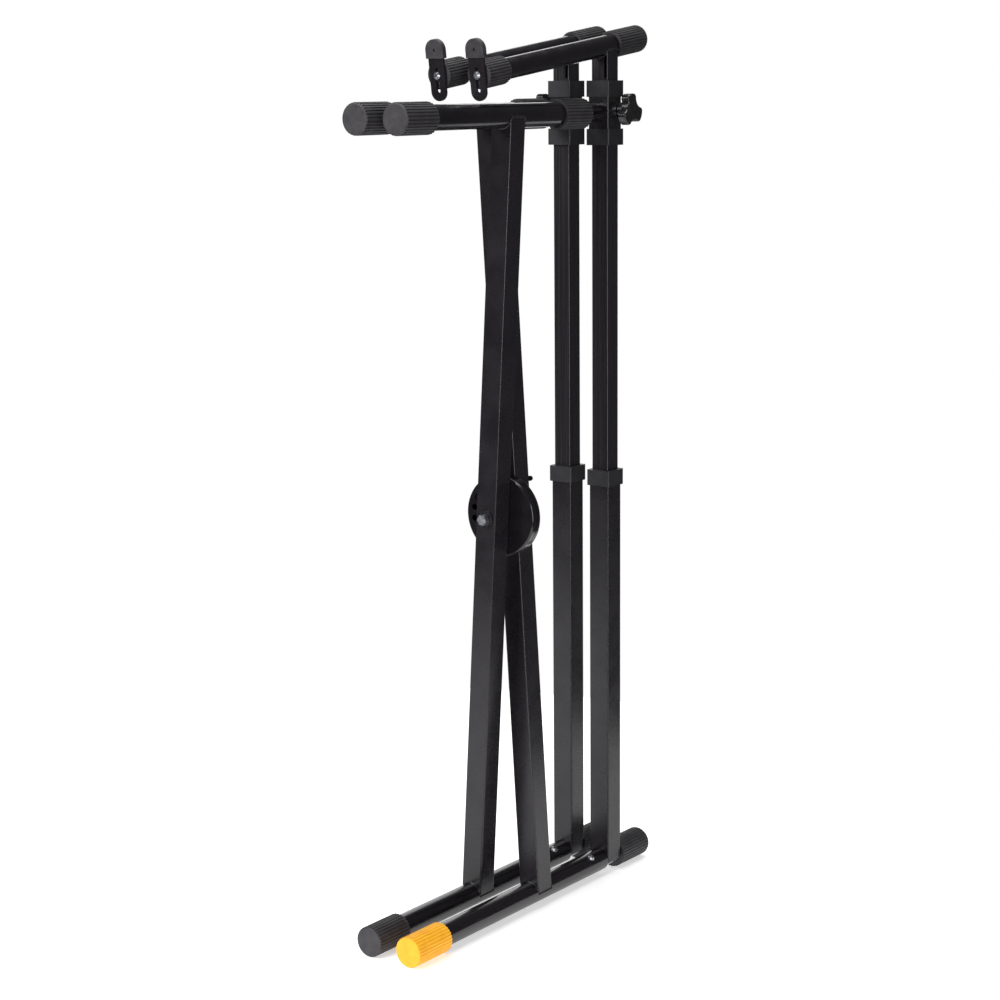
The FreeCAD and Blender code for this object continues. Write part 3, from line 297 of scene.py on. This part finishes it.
def paint_nodes():
    """Gives every CAD node the finish that its material slot in the record stands for."""
    finishes = {
        "black_powder_coat": powder_coat(),
        "black_gloss_coat": gloss_coat(),
        "zinc_steel": zinc_steel(),
        "black_oxide_steel": black_oxide(),
        "grey_rubber": moulded_rubber(),
        "grey_plastic": grey_plastic(),
        "black_plastic": black_plastic(),
        "yellow_plastic": yellow_plastic(),
        "nylon": nylon(),
    }
    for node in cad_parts.values():
        for slot in node.material_slots:
            slot.material = finishes[slot.material.name]
    streaked = sliding_coat()
    for word in ("far", "near"):
        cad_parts[f"mast_{word}"].material_slots[0].material = streaked
    return finishes


# ------------------------------------------------------------------------------------------------
# Small pieces that the CAD leaves out
# ------------------------------------------------------------------------------------------------

def add_piece(name, mesh, body, slot, finishes):
    """Puts a finished mesh in the scene, riding on a body, with the finish of a record slot."""
    bmesh.ops.recalc_face_normals(mesh, faces=mesh.faces)
    data = bpy.data.meshes.new(name)
    mesh.to_mesh(data)
    mesh.free()
    for face in data.polygons:
        face.use_smooth = True
    data.materials.append(finishes[slot])
    piece = bpy.data.objects.new(name, data)
    bpy.context.scene.collection.objects.link(piece)
    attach(piece, body)


def sweep(sections, closed):
    """A mesh skinned over a row of closed sections, each of them a list of points."""
    mesh = bmesh.new()
    rings = [[mesh.verts.new(point) for point in section] for section in sections]
    pairs = list(zip(rings, rings[1:]))
    if closed:
        pairs.append((rings[-1], rings[0]))
    for ring, following in pairs:
        for index, vertex in enumerate(ring):
            after = (index + 1) % len(ring)
            mesh.faces.new((vertex, ring[after], following[after], following[index]))
    if not closed:
        mesh.faces.new(rings[0])
        mesh.faces.new(rings[-1])
    return mesh


def rounded_square(side, corner, corner_steps=6, side_steps=26):
    """Points (a, b) round a centred square with rounded corners."""
    points = []
    reach = side / 2 - corner
    for turn in range(4):
        quarter = Matrix.Rotation(turn * math.pi / 2, 2)
        for step in range(side_steps):
            share = step / side_steps
            points.append(quarter @ Vector((side / 2, -reach + 2 * reach * share)))
        for step in range(corner_steps):
            angle = step / corner_steps * math.pi / 2
            arc = Vector((math.cos(angle), math.sin(angle))) * corner
            points.append(quarter @ (Vector((reach, reach)) + arc))
    return points


def saddle_path(centre, stem, tube_axis, tube_radius, side, corner):
    """The closed line where a square tube along stem meets a round tube through centre.

    The stem points from the round tube into the square one, and its walls face along Y."""
    across = REARWARDS.cross(stem).normalized()
    path = []
    for a, b in rounded_square(side, corner):
        offset = across * a + REARWARDS * b
        beside = offset - tube_axis * offset.dot(tube_axis)
        climb = stem - tube_axis * stem.dot(tube_axis)
        half = beside.dot(climb) / climb.length_squared
        rest = (beside.length_squared - tube_radius ** 2) / climb.length_squared
        path.append(centre + offset + stem * (math.sqrt(max(half * half - rest, 0.0)) - half))
    return path


def weld_bead(name, path, body, finishes):
    """A coated fillet weld along a closed path, with the ripples of its overlapping pools."""
    sections = []
    travelled = 0.0
    for index, point in enumerate(path):
        following = path[(index + 1) % len(path)]
        forward = (following - path[index - 1]).normalized()
        travelled += (following - point).length
        ripple = 1.0 + WELD_RIPPLE * math.sin(2 * math.pi * travelled / WELD_PITCH)
        side = forward.orthogonal().normalized()
        over = forward.cross(side)
        radius = WELD_RADIUS * ripple
        section = []
        for step in range(WELD_SIDES):
            angle = 2 * math.pi * step / WELD_SIDES
            section.append(point + (side * math.cos(angle) + over * math.sin(angle)) * radius)
        sections.append(section)
    add_piece(name, sweep(sections, True), body, "black_powder_coat", finishes)


def add_welds(finishes):
    """Beads where the legs meet their round tubes and where the masts meet their arms."""
    rise = Vector((2 * HALF_SPACING, 0.0, ARM_AXIS - FLOOR_AXIS)).normalized()
    legs = (("front_leg", FRONT_LEG_Y, rise), ("rear_leg", REAR_LEG_Y, rise * Vector((-1, 1, 1))))
    for leg, y, stem in legs:
        foot = Vector((-math.copysign(HALF_SPACING, stem.x), y, FLOOR_AXIS))
        head = Vector((math.copysign(HALF_SPACING, stem.x), y, ARM_AXIS))
        for end, centre, direction in (("foot", foot, stem), ("head", head, -stem)):
            path = saddle_path(centre, direction, REARWARDS, TUBE_RADIUS, LEG_SIDE, LEG_CORNER)
            weld_bead(f"{leg}_{end}_weld", path, f"{leg}_frame", finishes)
    arm_direction = Vector((0.0, math.cos(UPPER_TILT), math.sin(UPPER_TILT)))
    for word, sign in (("far", -1), ("near", 1)):
        centre = Vector((sign * HALF_SPACING, UPRIGHT_Y, UPPER_AXIS))
        path = saddle_path(centre, -UP, arm_direction, UPPER_RADIUS, MAST_SIDE, MAST_CORNER)
        weld_bead(f"mast_{word}_weld", path, f"mast_{word}", finishes)


def screw_thread(name, start, direction, length, body, finishes):
    """The thread on the open end of an M8 shank, as a helical ridge along direction."""
    side = direction.orthogonal().normalized()
    over = direction.cross(side)
    flank = direction * THREAD_HALF_WIDTH
    steps = int(length / THREAD_PITCH * THREAD_STEPS_ROUND)
    sections = []
    for step in range(steps + 1):
        angle = 2 * math.pi * step / THREAD_STEPS_ROUND
        outwards = side * math.cos(angle) + over * math.sin(angle)
        middle = start + direction * (length * step / steps)
        root = outwards * (M8_RADIUS - THREAD_SINK)
        crest = outwards * (M8_RADIUS + THREAD_HEIGHT)
        sections.append([middle + root - flank, middle + crest, middle + root + flank])
    add_piece(name, sweep(sections, False), body, "zinc_steel", finishes)


def add_threads(finishes):
    """Threads that show: past the pivot's lock nut, and between each clamp nut and its knob."""
    bolt_end = Vector((0.0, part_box("pivot_bolt")[0].y, PIVOT_HEIGHT))
    past_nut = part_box("pivot_nut")[0].y - bolt_end.y
    screw_thread("pivot_bolt_thread", bolt_end + REARWARDS * THREAD_INSET, REARWARDS,
                 past_nut - 2 * THREAD_INSET, "front_leg_frame", finishes)
    for word, sign in (("far", -1), ("near", 1)):
        outwards = RIGHTWARDS * sign
        nut_end = max(abs(corner.x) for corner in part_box(f"clamp_nut_{word}"))
        hub_start = min(abs(corner.x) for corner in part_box(f"clamp_knob_{word}"))
        start = Vector((sign * (nut_end + THREAD_INSET), UPRIGHT_Y, CLAMP_AXIS))
        length = hub_start - nut_end - 2 * THREAD_INSET
        screw_thread(f"knob_stud_{word}_thread", start, outwards, length, f"knob_{word}", finishes)


# ------------------------------------------------------------------------------------------------
# Studio
# ------------------------------------------------------------------------------------------------

def add_camera():
    """The photograph's view: from the front right, a little above, with a long lens."""
    forward = Vector((-math.sin(CAMERA_YAW) * math.cos(CAMERA_PITCH),
                      math.cos(CAMERA_YAW) * math.cos(CAMERA_PITCH),
                      -math.sin(CAMERA_PITCH)))
    level = Vector((math.cos(CAMERA_YAW), math.sin(CAMERA_YAW), 0.0))
    upright = level.cross(forward)
    right = level * math.cos(CAMERA_ROLL) + upright * math.sin(CAMERA_ROLL)
    top = upright * math.cos(CAMERA_ROLL) - level * math.sin(CAMERA_ROLL)
    data = bpy.data.cameras.new("camera")
    data.lens = CAMERA_LENS
    data.sensor_width = CAMERA_SENSOR
    data.clip_end = CAMERA_REACH
    camera = bpy.data.objects.new("camera", data)
    axes = Matrix((right, top, -forward)).transposed().to_4x4()
    camera.matrix_world = Matrix.Translation(CAMERA_PLACE) @ axes
    bpy.context.scene.collection.objects.link(camera)
    bpy.context.scene.camera = camera


def add_softbox(name, place, target, width, height, power):
    """A large rectangular light at place that faces target."""
    data = bpy.data.lights.new(name, "AREA")
    data.shape = "RECTANGLE"
    data.size = width
    data.size_y = height
    data.energy = power
    light = bpy.data.objects.new(name, data)
    light.location = place
    light.rotation_euler = (Vector(target) - Vector(place)).to_track_quat("-Z", "Y").to_euler()
    light.visible_camera = False
    bpy.context.scene.collection.objects.link(light)


def add_lights():
    """Soft light from the front right and from overhead, a fill from high at the front left, and two
    weak panels behind the stand that the round tubes mirror along their upper and lower sides."""
    add_softbox("key_softbox", (2.6, -2.1, 0.7), STAND_MIDDLE, 1.2, 2.0, 64.0)
    add_softbox("top_softbox", (0.0, 0.3, 3.2), STAND_MIDDLE, 1.6, 2.2, 64.0)
    add_softbox("fill_softbox", (-1.2, -2.8, 2.4), STAND_MIDDLE, 1.6, 1.0, 96.0)
    add_softbox("back_panel", (-1.85, 2.4, 1.3), STAND_MIDDLE, 1.5, 2.4, 18.0)
    add_softbox("low_panel", (0.2, 1.45, 0.05), (0.2, 1.45, 1.0), 0.7, 0.6, 1.4)


def add_world():
    """A white backdrop that lights the stand only weakly."""
    world = bpy.data.worlds.new("studio")
    world.use_nodes = True
    nodes = world.node_tree.nodes
    links = world.node_tree.links
    strength = nodes.new("ShaderNodeMapRange")
    strength.inputs["To Min"].default_value = BACKDROP_LIGHT
    strength.inputs["To Max"].default_value = 1.0
    links.new(nodes.new("ShaderNodeLightPath").outputs["Is Camera Ray"], strength.inputs["Value"])
    background = nodes["Background"]
    background.inputs["Color"].default_value = (1.0, 1.0, 1.0, 1.0)
    links.new(strength.outputs["Result"], background.inputs["Strength"])
    bpy.context.scene.world = world


def add_floor():
    """A plain white floor, lit from below so that only faint shadows show on it."""
    mesh = bmesh.new()
    bmesh.ops.create_circle(mesh, cap_ends=True, segments=96, radius=FLOOR_RADIUS)
    data = bpy.data.meshes.new("floor")
    mesh.to_mesh(data)
    mesh.free()
    paint = Finish("floor_paint", specular=0.3)
    paint.coloured(paint.noise(0.8), (0.90, 0.90, 0.90), (0.92, 0.92, 0.92))
    paint.rough(paint.noise(0.3), 0.40, 0.48)
    paint.shader.inputs["Emission Color"].default_value = (1.0, 1.0, 1.0, 1.0)
    paint.shader.inputs["Emission Strength"].default_value = FLOOR_GLOW
    data.materials.append(paint.material)
    floor = bpy.data.objects.new("floor", data)
    floor.location = FLOOR_CENTRE
    bpy.context.scene.collection.objects.link(floor)


finishes = paint_nodes()
add_welds(finishes)
add_threads(finishes)
add_camera()
add_lights()
add_world()
add_floor()
bpy.context.scene.view_settings.view_transform = "Standard"
